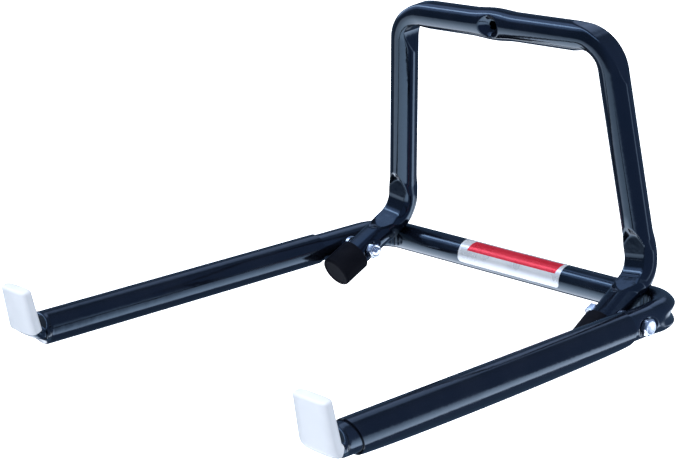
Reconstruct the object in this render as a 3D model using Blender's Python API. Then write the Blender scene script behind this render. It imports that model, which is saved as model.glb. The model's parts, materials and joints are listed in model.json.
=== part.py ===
"""Wall-mounted folding bike rack: a bent-tube wall frame that carries a U-shaped arm frame on two bolts.

Metres, +Z up, +X to the right and -Y away from the wall. The origin is the middle of the top bar, on
the wall's face. The arms are modelled at rest, with their crossbar under the bends of the legs.
"""
import math

import bmesh
import bpy
from mathutils import Matrix, Vector

# Steel tube
TUBE_RADIUS = 0.0127
TUBE_WALL = 0.0015
CLEARANCE = 0.0003
BEND_STEPS = 7
DENT_STEPS = 5
LEAD_STEPS = 3
MARK_GAP = 0.0002
ROUND_STEPS = 4
SLEEVE_STEPS = 6
SIDES = 20
FASTENER_SIDES = 24

# Wall frame
FRAME_HEIGHT = 0.1971
TOP_HALF = 0.1154
TOP_BEND = 0.029
FOOT_BEND = 0.026
FOOT_DROP = math.radians(20.9)
FOOT_SPLAY = math.radians(3.0)
FOOT_TO_PIVOT = 0.0582
PIVOT_TO_FOOT_END = 0.0355

# Arm frame
ARM_HALF = 0.1733
ARM_LENGTH = 0.4070
CORNER_BEND = 0.029
TIP_HEIGHT = 0.0400
TIP_TILT = math.radians(17.3)
TIP_BEND = 0.0130
TIP_THICK = 0.0100
TIP_WIDTH = 0.0340
TIP_SQUARENESS = 0.35

# Pressed places of the tubes
BEND_LEAD = 0.0120
TOP_DENT = 0.0050
TOP_FLAT = 0.0040
FOOT_DENT = 0.0030
CORNER_DENT = 0.0030
CORNER_FLAT = 0.0022
SCREW_SIDE = -0.0060
SCREW_HOLE = 0.0042
SCREW_DENT = 0.0080
SCREW_SEAT = 0.0056
SCREW_CONE = math.radians(52.4)
SCREW_BULGE = 0.0015
PINCH_REACH = 0.0260
WALL_FLAT_HEIGHT = 0.0070
WALL_FLAT_REACH = 0.0140
HEAD_DENT = 0.0030
NUT_DENT = 0.0016
SEAT_SPARE = 0.0016
SEAT_CONE = math.radians(35.0)

# Pivot bolts
BOLT_RADIUS = 0.0040
BOLT_HOLE = 0.0043
HEX_ACROSS = 0.0130
HEAD_THICK = 0.0053
NUT_THICK = 0.0065
BOLT_SPARE = 0.0030
BOLT_POINT = 0.0007
HEX_CHAMFER = 0.0005
SPACER_THICK = 0.0034
SPACER_RADIUS = 0.0080

# Vinyl pieces
CAP_WALL = 0.0023
CAP_START = 0.0100
CAP_END_WALL = 0.0025
CAP_ROUND = 0.0025
SLEEVE_WALL = 0.0011
LEFT_SLEEVE_BACK = 0.0881
LEFT_SLEEVE_FRONT = 0.0006
LEFT_SLEEVE_SAG = 0.0004
RIGHT_SLEEVE_BACK = 0.0725
RIGHT_SLEEVE_FRONT = 0.0165
RIGHT_SLEEVE_SAG = 0.0036
COVER_WALL = 0.0016
COVER_DEPTH = 0.0360
COVER_ROUND = 0.0030

# Places that follow from the sizes above
TUBE_PLANE = -TUBE_RADIUS
DRILL_LENGTH = 4 * TUBE_RADIUS
HEX_SEAT = HEX_ACROSS / math.sqrt(3) + SEAT_SPARE
TUBE_SPACING = 2 * TUBE_RADIUS + SPACER_THICK + 2 * CLEARANCE
PIVOT_HALF = ARM_HALF - TUBE_SPACING
FOOT_HALF = PIVOT_HALF - FOOT_TO_PIVOT * math.sin(FOOT_SPLAY)
PIVOT = Vector((0.0,
                TUBE_PLANE - FOOT_TO_PIVOT * math.cos(FOOT_SPLAY) * math.cos(FOOT_DROP),
                -FRAME_HEIGHT - FOOT_TO_PIVOT * math.cos(FOOT_SPLAY) * math.sin(FOOT_DROP)))


def crossbar_height():
    """Height at which the crossbar lies against the wall and touches the legs' bends from below."""
    bend_centre = -FRAME_HEIGHT + FOOT_BEND * math.tan((math.pi / 2 - FOOT_DROP) / 2)
    reach = FOOT_BEND + 2 * TUBE_RADIUS + CLEARANCE
    return bend_centre - math.sqrt(reach ** 2 - FOOT_BEND ** 2)


CROSSBAR = Vector((0.0, TUBE_PLANE, crossbar_height()))
CROSSBAR_REACH = (CROSSBAR - PIVOT).length
ARM_RISE = math.atan2(PIVOT.z - CROSSBAR.z, CROSSBAR.y - PIVOT.y)
TIP_PLACE = ARM_LENGTH - CROSSBAR_REACH
TIP_INSET = TIP_BEND * math.tan((math.pi / 2 - TIP_TILT) / 2)


# Bent tubes

class Station:
    """One place along a tube: its centre and direction, and how it is pressed there."""

    def __init__(self, centre, tangent):
        self.centre, self.tangent, self.side = centre, tangent, None
        self.along = 0.0
        self.inward, self.dent, self.flat = Vector(), 0.0, 0.0
        self.tip = 0.0


class Bend:
    """A round bend between two straights, pressed in on its inside by the bending die."""

    def __init__(self, before, corner, after, radius, dent, flat):
        self.come, self.go = (corner - before).normalized(), (after - corner).normalized()
        self.radius, self.dent, self.flat = radius, dent, flat
        self.turn = self.come.angle(self.go)
        inset = radius * math.tan(self.turn / 2)
        self.start, self.end = corner - self.come * inset, corner + self.go * inset
        self.centre = corner + (self.go - self.come).normalized() * radius / math.cos(self.turn / 2)

    def press(self, station, beyond, inward):
        """Presses the tube's two sides at a distance beyond the arc's nearer end, or inside it if negative."""
        half = self.radius * self.turn / 2
        share = max(0.0, 1.0 - ((half + beyond) / (half + BEND_LEAD)) ** 2)
        station.inward, station.dent, station.flat = inward.normalized(), self.dent * share, self.flat * share

    def arc(self):
        axis = self.come.cross(self.go).normalized()
        for step in range(BEND_STEPS + 1):
            share = step / BEND_STEPS
            spin = Matrix.Rotation(self.turn * share, 3, axis)
            arm = spin @ (self.start - self.centre)
            station = Station(self.centre + arm, spin @ self.come)
            self.press(station, -self.radius * self.turn * min(share, 1.0 - share), -arm)
            yield station


def straight(start, end, bends, dents):
    """Stations along a straight stretch, close together where it is dented or runs into a bend."""
    direction, length = (end - start).normalized(), (end - start).length
    marks = {0.0, length}
    for bend, place in bends:
        foot = (place - start).dot(direction)
        marks |= {abs(foot - BEND_LEAD * i / LEAD_STEPS) for i in range(1, LEAD_STEPS + 1)}
        marks -= {0.0 if place is start else length}
    for dent in dents:
        foot = (dent.centre - start).dot(direction)
        if (start + direction * foot - dent.centre).length < TUBE_RADIUS:
            marks |= {foot + dent.spread * i / DENT_STEPS for i in range(-DENT_STEPS, DENT_STEPS + 1)}
    last = -MARK_GAP
    for mark in sorted(mark for mark in marks if 0.0 <= mark <= length):
        if mark - last < MARK_GAP:
            continue
        last, station = mark, Station(start + direction * mark, direction)
        for bend, place in bends:
            beyond = (station.centre - place).length
            if beyond < BEND_LEAD:
                bend.press(station, beyond, bend.centre - place)
        yield station


def bent_path(corners, bend_sizes, dents=()):
    """Stations along straight stretches joined by round bends, each of a radius, a dent and a flat."""
    bends = [Bend(*corners[i:i + 3], *sizes) for i, sizes in enumerate(bend_sizes)]
    stations, start = [], corners[0]
    for before, after in zip([None] + bends, bends + [None]):
        end = after.start if after else corners[-1]
        joined = [(bend, place) for bend, place in ((before, start), (after, end)) if bend]
        stations += straight(start, end, joined, dents)
        if after:
            stations += after.arc()
            start = after.end
    return stations


def carry_sides(stations, side):
    """Gives every station a sideways direction that turns with the tube and never twists."""
    before = None
    for station in stations:
        if before:
            side = before.tangent.rotation_difference(station.tangent) @ side
            station.along = before.along + (station.centre - before.centre).length
        station.side = (side - station.tangent * side.dot(station.tangent)).normalized()
        before = station
    return stations


class Dent:
    """A round place where a tube is pressed in along an axis, down to a flat seat with a conical wall."""

    def __init__(self, centre, axis, depth, seat, cone):
        self.centre, self.axis = Vector(centre), Vector(axis)
        self.depth, self.seat, self.slope = depth, seat, math.tan(cone)
        self.spread = seat + depth / self.slope

    def press(self, point):
        height = (point - self.centre).dot(self.axis)
        out = (point - self.centre - self.axis * height).length
        limit = TUBE_RADIUS - self.depth + max(0.0, out - self.seat) * self.slope
        return point - self.axis * (height - limit) if limit < height < 2 * TUBE_RADIUS else point


def power(value, exponent):
    return math.copysign(abs(value) ** exponent, value)


def quarter_turn():
    """Angles of a rounded edge, from its side to its end."""
    return [math.pi / 2 * step / ROUND_STEPS for step in range(ROUND_STEPS + 1)]


def tube_ring(station, grow=0.0, dents=()):
    """Outline of a tube at one station: round, flattened towards a tip, and pressed at a bend."""
    up = station.tangent.cross(station.side)
    half_width = TUBE_RADIUS + (TIP_WIDTH / 2 - TUBE_RADIUS) * station.tip + grow
    half_thick = TUBE_RADIUS + (TIP_THICK / 2 - TUBE_RADIUS) * station.tip + grow
    bulge = 1.0 - TIP_SQUARENESS * station.tip
    ring = []
    for i in range(SIDES):
        angle = math.tau * i / SIDES
        point = (station.centre + station.side * half_width * power(math.cos(angle), bulge)
                 + up * half_thick * power(math.sin(angle), bulge))
        for way, depth in ((station.inward, station.dent), (-station.inward, station.flat)):
            height = (point - station.centre).dot(way)
            if depth:
                point -= way * max(0.0, height - (TUBE_RADIUS + grow - depth))
        for dent in dents:
            point = dent.press(point)
        ring.append(point)
    return ring


# Meshes and objects

def material(name, colour, roughness, metallic=0.0):
    made = bpy.data.materials.new(name)
    made.use_nodes = True
    shader = made.node_tree.nodes["Principled BSDF"]
    shader.inputs["Base Color"].default_value = (*colour, 1.0)
    shader.inputs["Roughness"].default_value = roughness
    shader.inputs["Metallic"].default_value = metallic
    made.diffuse_color = (*colour, 1.0)
    return made


def add_object(name, shape, look, parent=None, matrix=None, sharp=40):
    """Turns a bmesh into a smooth-shaded object, placed under its parent."""
    bmesh.ops.recalc_face_normals(shape, faces=shape.faces)
    mesh = bpy.data.meshes.new(name)
    shape.to_mesh(mesh)
    shape.free()
    mesh.shade_smooth()
    mesh.set_sharp_from_angle(angle=math.radians(sharp))
    mesh.materials.append(look)
    made = bpy.data.objects.new(name, mesh)
    bpy.context.scene.collection.objects.link(made)
    made.parent = parent
    if matrix:
        made.matrix_basis = matrix
    return made


def loft(rings, closed=False, caps=()):
    """Skins a row of rings; the ends stay open, meet each other, or are capped."""
    shape = bmesh.new()
    loops = [[shape.verts.new(point) for point in ring] for ring in rings]
    pairs = list(zip(loops, loops[1:]))
    if closed:
        pairs.append((loops[-1], loops[0]))
    for one, other in pairs:
        for i in range(len(one)):
            shape.faces.new((one[i - 1], one[i], other[i], other[i - 1]))
    for end in caps:
        shape.faces.new(loops[end])
    return shape


def lathe(profile, sides=SIDES):
    """Turns a profile of (radius, height) points about local Z into a solid."""
    shape = bmesh.new()
    points = [shape.verts.new((radius, 0.0, height)) for radius, height in profile]
    edges = [shape.edges.new(pair) for pair in zip(points, points[1:])]
    if profile[0][0] or profile[-1][0]:
        edges.append(shape.edges.new((points[-1], points[0])))
    bmesh.ops.spin(shape, geom=points + edges, cent=(0, 0, 0), axis=(0, 0, 1), angle=math.tau,
                   steps=sides, use_merge=True)
    bmesh.ops.remove_doubles(shape, verts=shape.verts, dist=1e-6)
    bmesh.ops.dissolve_degenerate(shape, edges=shape.edges, dist=1e-7)
    return shape


def aimed(direction, place):
    """Matrix that stands local +Z along a direction, at a place."""
    turn = Vector(direction).to_track_quat("Z", "Y").to_matrix().to_4x4()
    return Matrix.Translation(place) @ turn


def hollow(piece, wall):
    """Gives a skin its wall, inside its outer face."""
    shell = piece.modifiers.new("wall", "SOLIDIFY")
    shell.thickness = wall
    shell.offset = -1.0
    shell.use_even_offset = True
    shell.use_rim = True


def drill(piece, name, radius, direction, place, parent=None):
    """Bores through a tube with a hidden cutter, turned so that its corners miss the tube's edges."""
    half = DRILL_LENGTH / 2
    profile = [(0, -half), (radius, -half), (radius, half), (0, half)]
    turned = aimed(direction, place) @ Matrix.Rotation(math.pi / 2 / FASTENER_SIDES, 4, "Z")
    cutter = add_object(name, lathe(profile, FASTENER_SIDES), STEEL_BLACK, parent, turned)
    cutter.hide_render = True
    cutter.display_type = "WIRE"
    bore = piece.modifiers.new(name, "BOOLEAN")
    bore.operation = "DIFFERENCE"
    bore.solver = "EXACT"
    bore.object = cutter


# Wall frame

def foot_direction(sign):
    return Vector((sign * math.sin(FOOT_SPLAY),
                   -math.cos(FOOT_SPLAY) * math.cos(FOOT_DROP),
                   -math.cos(FOOT_SPLAY) * math.sin(FOOT_DROP)))


def leg_pivot(sign):
    return PIVOT + Vector((sign * PIVOT_HALF, 0.0, 0.0))


def foot_end(sign):
    return leg_pivot(sign) + foot_direction(sign) * PIVOT_TO_FOOT_END


def pinch_top_bar(point):
    """Makes the top bar taller round its screw hole, and flat behind it where it lies on the wall."""
    out = abs(point.x - SCREW_SIDE)
    if abs(point.z) > 2 * TUBE_RADIUS or out > PINCH_REACH:
        return point
    flat = abs(point.z) < WALL_FLAT_HEIGHT and out < WALL_FLAT_REACH and point.y > TUBE_PLANE
    taller = 1.0 + SCREW_BULGE / TUBE_RADIUS * math.cos(math.pi / 2 * out / PINCH_REACH) ** 2
    return Vector((point.x, 0.0 if flat else point.y, point.z * taller))


def build_wall_frame():
    dents = [Dent((SCREW_SIDE, TUBE_PLANE, 0.0), (0, -1, 0), SCREW_DENT, SCREW_SEAT, SCREW_CONE)]
    for sign in (-1, 1):
        dents.append(Dent(leg_pivot(sign), (-sign, 0, 0), NUT_DENT, HEX_SEAT, SEAT_CONE))
        dents.append(Dent(leg_pivot(sign), (sign, 0, 0), 0.0, SPACER_RADIUS + SEAT_SPARE, SEAT_CONE))
    corners = [foot_end(-1)]
    for sign in (-1, 1):
        bends = [Vector((sign * FOOT_HALF, TUBE_PLANE, -FRAME_HEIGHT)),
                 Vector((sign * TOP_HALF, TUBE_PLANE, 0.0))]
        corners += bends if sign < 0 else bends[::-1]
    corners.append(foot_end(1))
    foot, top = (FOOT_BEND, FOOT_DENT, 0.0), (TOP_BEND, TOP_DENT, TOP_FLAT)
    path = bent_path(corners, (foot, top, top, foot), dents)
    carry_sides(path, Vector((1.0, 0.0, 0.0)))
    rings = [[pinch_top_bar(point) for point in tube_ring(station, dents=dents)] for station in path]
    frame = add_object("wall_frame", loft(rings), STEEL_BLACK)
    hollow(frame, TUBE_WALL)
    drill(frame, "screw_bore", SCREW_HOLE, (0, 1, 0), (SCREW_SIDE, TUBE_PLANE, 0))
    for sign, side in SIDE_NAMES:
        drill(frame, f"leg_bore_{side}", BOLT_HOLE, (1, 0, 0), leg_pivot(sign))


def build_leg_cap(sign, side):
    """Push-on vinyl cap over the lower end of a leg."""
    grip = PIVOT_TO_FOOT_END - CAP_START
    inner, outer = TUBE_RADIUS + CLEARANCE, TUBE_RADIUS + CLEARANCE + CAP_WALL
    end = CLEARANCE + CAP_END_WALL
    rim = [(outer - CAP_ROUND + CAP_ROUND * math.sin(angle), end - CAP_ROUND + CAP_ROUND * math.cos(angle))
           for angle in quarter_turn()]
    profile = [(0.0, end)] + rim + [(outer, -grip), (inner, -grip), (inner, CLEARANCE), (0.0, CLEARANCE)]
    add_object(f"leg_cap_{side}", lathe(profile), CAP_BLACK, matrix=aimed(foot_direction(sign),
                                                                         foot_end(sign)))


# Arm frame

def arm_path(dents=()):
    """Stations along the arm frame, from the left tip round the crossbar to the right tip."""
    tip = Vector((0.0, -math.sin(TIP_TILT), math.cos(TIP_TILT))) * TIP_HEIGHT
    left, right = Vector((-ARM_HALF, 0.0, 0.0)), Vector((ARM_HALF, 0.0, 0.0))
    front, back = Vector((0.0, -TIP_PLACE, 0.0)), Vector((0.0, CROSSBAR_REACH, 0.0))
    corners = [left + front + tip, left + front, left + back, right + back, right + front,
               right + front + tip]
    corner, turned_up = (CORNER_BEND, CORNER_DENT, CORNER_FLAT), (TIP_BEND, 0.0, 0.0)
    path = bent_path(corners, (turned_up, corner, corner, turned_up), dents)
    carry_sides(path, Vector((1.0, 0.0, 0.0)))
    reach = path[-1].along
    turn = math.pi / 2 - TIP_TILT
    bend_start = TIP_HEIGHT - TIP_INSET + TIP_BEND * turn
    for station in path:
        from_tip = min(station.along, reach - station.along)
        share = min(1.0, max(0.0, (bend_start - from_tip) / (TIP_BEND * turn)))
        station.tip = share * share * (3.0 - 2.0 * share)
    return path


def build_arm_frame(hinge):
    dents = [Dent((sign * ARM_HALF, 0.0, 0.0), (sign, 0, 0), HEAD_DENT, HEX_SEAT, SEAT_CONE)
             for sign in (-1, 1)]
    frame = add_object("arm_frame", loft([tube_ring(station, dents=dents) for station in arm_path(dents)]),
                       STEEL_BLACK, hinge)
    hollow(frame, TUBE_WALL)
    for sign, side in SIDE_NAMES:
        drill(frame, f"arm_bore_{side}", BOLT_HOLE, (1, 0, 0), (sign * ARM_HALF, 0.0, 0.0), hinge)


def build_sleeve(sign, side, back, front, sag, hinge):
    """Vinyl sleeve round an arm, from behind its bolt to short of its tip, which sags in the middle."""
    radius = TUBE_RADIUS + CLEARANCE + SLEEVE_WALL
    start, end = CROSSBAR_REACH - back, CROSSBAR_REACH - (ARM_LENGTH - TIP_INSET - front)
    rings = []
    for step in range(SLEEVE_STEPS + 1):
        drop = sag * math.sin(math.pi * (step + 0.5) / (SLEEVE_STEPS + 1))
        place = Vector((sign * ARM_HALF, start + (end - start) * step / SLEEVE_STEPS, 0.0))
        rings.append([place + Vector((radius * math.cos(angle), 0.0,
                                      (radius + drop * (math.sin(angle) < 0)) * math.sin(angle)))
                      for angle in (math.tau * i / SIDES for i in range(SIDES))])
    hollow(add_object(f"arm_sleeve_{side}", loft(rings), VINYL_BLACK, hinge), SLEEVE_WALL)


def build_tip_cover(sign, side, hinge):
    """Dipped vinyl cover that follows the flattened tip, with a rounded top."""
    whole = arm_path()
    reach = whole[-1].along
    if sign < 0:
        tip = [station for station in whole if station.along <= COVER_DEPTH][::-1]
    else:
        tip = [station for station in whole if reach - station.along <= COVER_DEPTH]
    top, rise = tip[-1], (tip[-1].centre - tip[-2].centre).normalized()

    def lifted(height):
        place = Station(top.centre + rise * height, top.tangent)
        place.side, place.tip = top.side, top.tip
        return place

    skin = CLEARANCE + COVER_WALL
    inner = [tube_ring(station, CLEARANCE) for station in tip[:-1] + [lifted(CLEARANCE)]]
    outer = [tube_ring(station, skin) for station in tip[:-1]]
    for angle in quarter_turn():
        outer.append(tube_ring(lifted(skin - COVER_ROUND + COVER_ROUND * math.sin(angle)),
                               skin - COVER_ROUND + COVER_ROUND * math.cos(angle)))
    add_object(f"tip_cover_{side}", loft(inner[::-1] + outer, caps=[0, -1]), VINYL_WHITE, hinge)


# Pivot hardware

def hex_ring(height, apothem, limit=None):
    """A hexagon with as many points as a round ring, optionally trimmed by a circle."""
    ring = []
    for i in range(FASTENER_SIDES):
        angle = math.tau * i / FASTENER_SIDES
        radius = apothem / math.cos((angle + math.pi / 6) % (math.pi / 3) - math.pi / 6)
        radius = min(radius, limit or radius)
        ring.append(Vector((radius * math.cos(angle), radius * math.sin(angle), height)))
    return ring


def round_ring(height, radius):
    angles = [math.tau * i / FASTENER_SIDES for i in range(FASTENER_SIDES)]
    return [Vector((radius * math.cos(angle), radius * math.sin(angle), height)) for angle in angles]


def build_pivot_hardware(sign, side):
    """Hex bolt from outside the arm, a spacer between the tubes and a nut inside the leg."""
    apothem = HEX_ACROSS / 2
    head_seat = ARM_HALF + TUBE_RADIUS - HEAD_DENT + CLEARANCE
    nut_seat = PIVOT_HALF - TUBE_RADIUS + NUT_DENT - CLEARANCE
    inward = Vector((-sign, 0, 0))
    shank = head_seat - nut_seat + NUT_THICK + BOLT_SPARE

    bolt = [round_ring(shank, BOLT_RADIUS - BOLT_POINT), round_ring(shank - BOLT_POINT, BOLT_RADIUS),
            round_ring(0.0, BOLT_RADIUS), hex_ring(0.0, apothem),
            hex_ring(HEX_CHAMFER - HEAD_THICK, apothem), hex_ring(-HEAD_THICK, apothem, apothem)]
    add_object(f"pivot_bolt_{side}", loft(bolt, caps=[0, -1]), ZINC, sharp=25,
               matrix=aimed(inward, PIVOT + Vector((sign * head_seat, 0, 0))))

    nut = [round_ring(0.0, BOLT_HOLE), hex_ring(0.0, apothem, apothem), hex_ring(HEX_CHAMFER, apothem),
           hex_ring(NUT_THICK - HEX_CHAMFER, apothem), hex_ring(NUT_THICK, apothem, apothem),
           round_ring(NUT_THICK, BOLT_HOLE)]
    add_object(f"pivot_nut_{side}", loft(nut, closed=True), ZINC, sharp=25,
               matrix=aimed(inward, PIVOT + Vector((sign * nut_seat, 0, 0))))

    spacer_seat = ARM_HALF - TUBE_RADIUS - CLEARANCE
    spacer = [round_ring(0.0, BOLT_HOLE), round_ring(0.0, SPACER_RADIUS),
              round_ring(SPACER_THICK, SPACER_RADIUS), round_ring(SPACER_THICK, BOLT_HOLE)]
    add_object(f"pivot_spacer_{side}", loft(spacer, closed=True), ZINC, sharp=25,
               matrix=aimed(inward, PIVOT + Vector((sign * spacer_seat, 0, 0))))


# The whole rack

for old in list(bpy.data.objects):
    bpy.data.objects.remove(old, do_unlink=True)

STEEL_BLACK = material("steel_black", (0.008, 0.009, 0.014), 0.14)
CAP_BLACK = material("cap_black", (0.012, 0.013, 0.017), 0.32)
VINYL_BLACK = material("vinyl_black", (0.009, 0.010, 0.015), 0.20)
VINYL_WHITE = material("vinyl_white", (0.78, 0.82, 0.88), 0.42)
ZINC = material("zinc", (0.62, 0.64, 0.66), 0.30, 1.0)
SIDE_NAMES = ((-1, "left"), (1, "right"))

arm_hinge = bpy.data.objects.new("arm_hinge", None)
bpy.context.scene.collection.objects.link(arm_hinge)
arm_hinge.location = PIVOT
arm_hinge.rotation_euler = (-ARM_RISE, 0.0, 0.0)

build_wall_frame()
build_arm_frame(arm_hinge)
build_sleeve(-1, "left", LEFT_SLEEVE_BACK, LEFT_SLEEVE_FRONT, LEFT_SLEEVE_SAG, arm_hinge)
build_sleeve(1, "right", RIGHT_SLEEVE_BACK, RIGHT_SLEEVE_FRONT, RIGHT_SLEEVE_SAG, arm_hinge)
for sign, side in SIDE_NAMES:
    build_leg_cap(sign, side)
    build_tip_cover(sign, side, arm_hinge)
    build_pivot_hardware(sign, side)
bpy.context.view_layer.update()
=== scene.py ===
import json
import math

import bpy
from mathutils import Matrix, Vector


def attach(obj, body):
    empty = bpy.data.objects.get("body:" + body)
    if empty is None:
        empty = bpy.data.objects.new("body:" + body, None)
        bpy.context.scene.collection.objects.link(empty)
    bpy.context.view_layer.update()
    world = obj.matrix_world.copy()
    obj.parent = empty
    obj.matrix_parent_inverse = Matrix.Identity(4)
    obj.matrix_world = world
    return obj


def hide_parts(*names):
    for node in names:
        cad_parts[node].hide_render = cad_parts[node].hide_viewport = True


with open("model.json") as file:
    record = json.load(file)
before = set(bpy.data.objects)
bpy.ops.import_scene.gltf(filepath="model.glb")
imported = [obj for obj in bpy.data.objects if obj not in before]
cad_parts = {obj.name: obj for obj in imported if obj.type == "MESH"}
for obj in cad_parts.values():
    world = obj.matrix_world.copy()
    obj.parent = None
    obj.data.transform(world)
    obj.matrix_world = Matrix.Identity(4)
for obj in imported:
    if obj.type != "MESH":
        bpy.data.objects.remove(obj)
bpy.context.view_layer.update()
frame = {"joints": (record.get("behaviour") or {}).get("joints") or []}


# The wall frame is one length of 1 inch round steel tube, bent into an upside-down U with a ram bender,
# whose die flattens the inside of each bend. Both feet are then bent forward. The tube is dimpled and
# bored for the wall screw, pressed flat where the bolts go through, and dipped in blue-black enamel.
tube_radius = 0.0127
tube_across = 2 * tube_radius
own_reach = 1.2 * tube_radius
tube_wall = 0.0015
tube_sides = 96
short_step = 0.0010
long_step = 0.012
bend_step = 0.0012
smooth_angle = math.radians(40.0)
frame_height = 0.1971
top_half = 0.1154
top_bend = 0.029
foot_bend = 0.026
foot_drop = math.radians(20.9)
foot_splay = math.radians(3.0)
foot_to_pivot = 0.0582
pivot_to_foot_end = 0.0355
bend_lead = 0.012
foot_lead = 0.0245
top_lead = 0.0105
foot_ramp = 0.0090
top_ramp = 0.0230
ramp_corner = 0.05
crease = 0.0009
ripple_pitch = 0.0065
top_dent = 0.0060
top_flat = 0.0040
foot_dent = 0.0038
heel_dent = 0.0030
heel_run = 0.0155
heel_round = 0.0140
foot_spread = 0.0016
screw_side = -0.0060
screw_hole = 0.0042
screw_dent = 0.0080
screw_seat = 0.0050
screw_cone = math.radians(52.4)
screw_bulge = 0.0015
screw_reach = 0.018
bulge_reach = 0.0260
wall_flat_height = 0.0062
wall_flat_reach = 0.0125
wall_flat_fade = (0.003, 0.004)
bolt_hole = 0.0043
bolt_reach = 0.014
hole_catch = 0.7 * short_step
nut_dent = 0.0016
bolt_seat = 0.0080
seat_cone = math.radians(35.0)
pivot = Vector(frame["joints"][0]["pos_m"])


class Bend:
    """One round bend of a tube, from the point where it starts to the point where it ends."""

    def __init__(self, before, corner, after, radius):
        self.come, self.go = (corner - before).normalized(), (after - corner).normalized()
        self.radius, self.turn = radius, self.come.angle(self.go)
        self.length = self.radius * self.turn
        self.axis = self.come.cross(self.go).normalized()
        self.start = corner - self.come * radius * math.tan(self.turn / 2)
        self.end = corner + self.go * radius * math.tan(self.turn / 2)
        self.centre = corner + (self.go - self.come).normalized() * radius / math.cos(self.turn / 2)

    def near(self, point):
        """Finds the tube's middle beside a point, the way to the bend's centre, and how far round it is."""
        first = (self.start - self.centre).normalized()
        arm = point - self.centre
        angle = math.atan2(arm.dot(self.axis.cross(first)), arm.dot(first))
        if angle < 0.0:
            along = (point - self.start).dot(self.come)
            return self.start + self.come * along, -first, along
        if angle > self.turn:
            beyond = (point - self.end).dot(self.go)
            return (self.end + self.go * beyond, (self.centre - self.end).normalized(),
                    self.length + beyond)
        out = Matrix.Rotation(angle, 3, self.axis) @ first
        return self.centre + out * self.radius, -out, self.radius * angle


def select_none():
    if bpy.context.mode != "OBJECT":
        bpy.ops.object.mode_set(mode="OBJECT")
    bpy.ops.object.select_all(action="DESELECT")


def take(piece):
    """Makes a piece the active one, and the only one that is selected."""
    select_none()
    bpy.context.view_layer.objects.active = piece
    piece.select_set(True)


def run_on(start, end, busy):
    """Draws the open ring straight on, in short steps near the busy places and in long ones elsewhere."""
    way, done = end - start, 0.0
    while way.length - done > 1e-6:
        here = start + way.normalized() * done
        spare = min((here - place).length - reach for place, reach in busy)
        step = min(way.length - done, max(short_step, min(spare, long_step)))
        bpy.ops.mesh.extrude_region_move(TRANSFORM_OT_translate={"value": way.normalized() * step})
        done += step


def draw_tube(name, corners, radii, busy, radius=tube_radius, lead=bend_lead):
    """Draws a tube out of one ring, straight along each run and round each bend, and lists the bends."""
    bends = [Bend(*corners[i:i + 3], turned) for i, turned in enumerate(radii)]
    places = [(place, lead) for bend in bends for place in (bend.start, bend.end)] + busy
    select_none()
    turn = (corners[1] - corners[0]).to_track_quat("Z", "X").to_euler()
    bpy.ops.mesh.primitive_circle_add(vertices=tube_sides, radius=radius, location=corners[0],
                                      rotation=turn)
    tube = bpy.context.object
    tube.name = tube.data.name = name
    bpy.ops.object.transform_apply(location=True, rotation=True, scale=True)
    bpy.ops.object.mode_set(mode="EDIT")
    bpy.ops.mesh.select_mode(type="VERT")
    bpy.ops.mesh.select_all(action="SELECT")
    here = corners[0]
    for bend in bends:
        run_on(here, bend.start, places)
        bpy.ops.mesh.spin(steps=round(bend.radius * bend.turn / bend_step), angle=-bend.turn,
                          center=bend.centre, axis=bend.axis)
        here = bend.end
    run_on(here, corners[-1], places)
    bpy.ops.mesh.select_all(action="SELECT")
    bpy.ops.mesh.remove_doubles(threshold=1e-6)
    bpy.ops.mesh.normals_make_consistent(inside=False)
    bpy.ops.object.mode_set(mode="OBJECT")
    return tube, bends


def soft_least(value, limit, corner):
    """The lesser of two numbers, with a rounded corner where they meet."""
    share = min(1.0, max(0.0, 0.5 + (limit - value) / (2 * corner)))
    return limit + (value - limit) * share - corner * share * (1.0 - share)


def press_bend(tube, bend, dent, flat, lead, ramp, ripple=0.0, spread=0.0, heel=0.0, heel_curve=0.0):
    """Flattens the inside of a bend, most where the die's round heels dig in, and its outside."""
    for vert in tube.data.vertices:
        if (vert.co - bend.centre).length > bend.radius + lead + tube_across:
            continue
        middle, inward, along = bend.near(vert.co)
        across = (vert.co - middle).dot(bend.axis) / tube_radius
        spare = bend.length / 2 + lead - abs(along - bend.length / 2)
        share = soft_least((spare - heel_curve * across ** 2) / ramp, 1.0, ramp_corner)
        if share <= 0.0 or (vert.co - middle).length > own_reach:
            continue
        deep = dent + heel * min(1.0, max(0.0, 1.0 - (spare - ramp) / heel_run))
        wrinkle = ripple * math.cos(math.tau * (along - bend.length / 2) / ripple_pitch)
        vert.co += bend.axis * across * spread * share
        for way, depth in ((inward, (deep + wrinkle) * share), (-inward, flat * share)):
            height = (vert.co - middle).dot(way)
            if height > 0.0 and depth > 1e-5:
                corner = min(crease, depth)
                vert.co += way * (soft_least(height, tube_radius - depth, corner) - height)


def press_in(tube, place, axis, depth, seat, cone):
    """Presses a dimple with sloping sides into one side of the tube, down to a flat seat."""
    for vert in tube.data.vertices:
        height = (vert.co - place).dot(axis)
        out = (vert.co - place - axis * height).length
        if 0.0 < height < 1.5 * tube_radius and out < tube_across:
            slope = -soft_least(-(out - seat) * math.tan(cone), 0.0, crease)
            vert.co += axis * (soft_least(height, tube_radius - depth + slope, crease) - height)


def pick_faces(piece, wanted):
    """Opens a piece in edit mode with just the wanted faces selected."""
    take(piece)
    bpy.ops.object.mode_set(mode="EDIT")
    bpy.ops.mesh.select_mode(type="FACE")
    bpy.ops.mesh.select_all(action="DESELECT")
    bpy.ops.object.mode_set(mode="OBJECT")
    for face in piece.data.polygons:
        face.select = wanted(face)
    bpy.ops.object.mode_set(mode="EDIT")


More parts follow.
